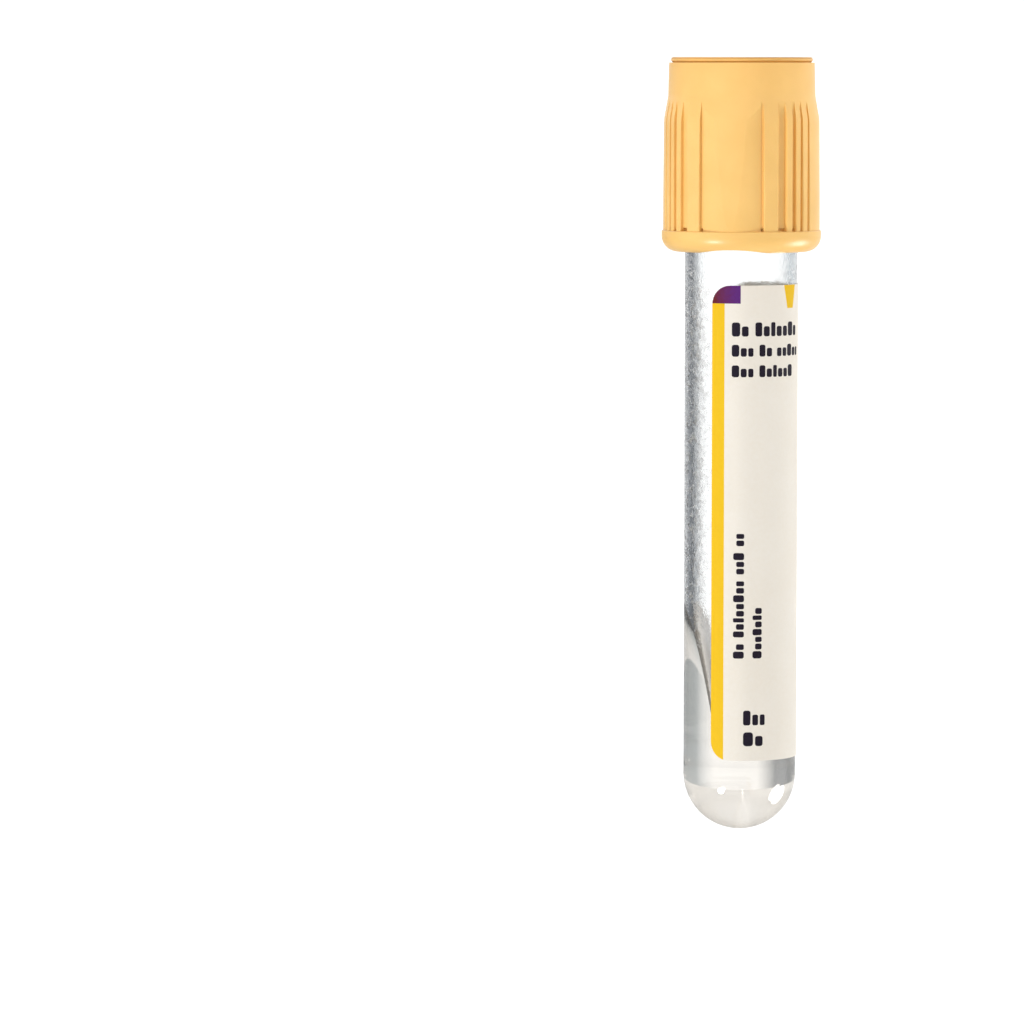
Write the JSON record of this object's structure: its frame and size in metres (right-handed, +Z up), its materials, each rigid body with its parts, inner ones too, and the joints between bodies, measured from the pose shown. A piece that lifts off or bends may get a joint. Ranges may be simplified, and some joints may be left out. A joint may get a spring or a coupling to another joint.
{
  "type": "blood collection tube",
  "caption": "Clear round-bottom plastic tube with a wrapped paper label, separator gel in its foot and a ribbed pull-off closure that holds a rubber stopper.",
  "frame": {"origin": "centre of the closure's flat top, on the surface that the tube stands on upside down", "axes": "+Z up, along the tube from the closure towards the round bottom, -Y the side that the label's front faces"},
  "size_m": [0.0184, 0.0184, 0.0891],
  "materials": {
    "clear_plastic": "gloss",
    "gel": "satin",
    "label_paper": "satin",
    "gold_plastic": "satin",
    "stopper_rubber": "matte"
  },
  "bodies": {
    "closure": {"closure_shield": "gold_plastic", "rubber_stopper": "stopper_rubber"},
    "tube": {"tube": "clear_plastic", "separator_gel": "gel", "label": "label_paper"}
  },
  "joints": [
    {"name": "tube_slide", "type": "slide", "parent": "closure", "child": "tube", "axis": [0, 0, 1], "range_m": [0, 0.02]}
  ]
}
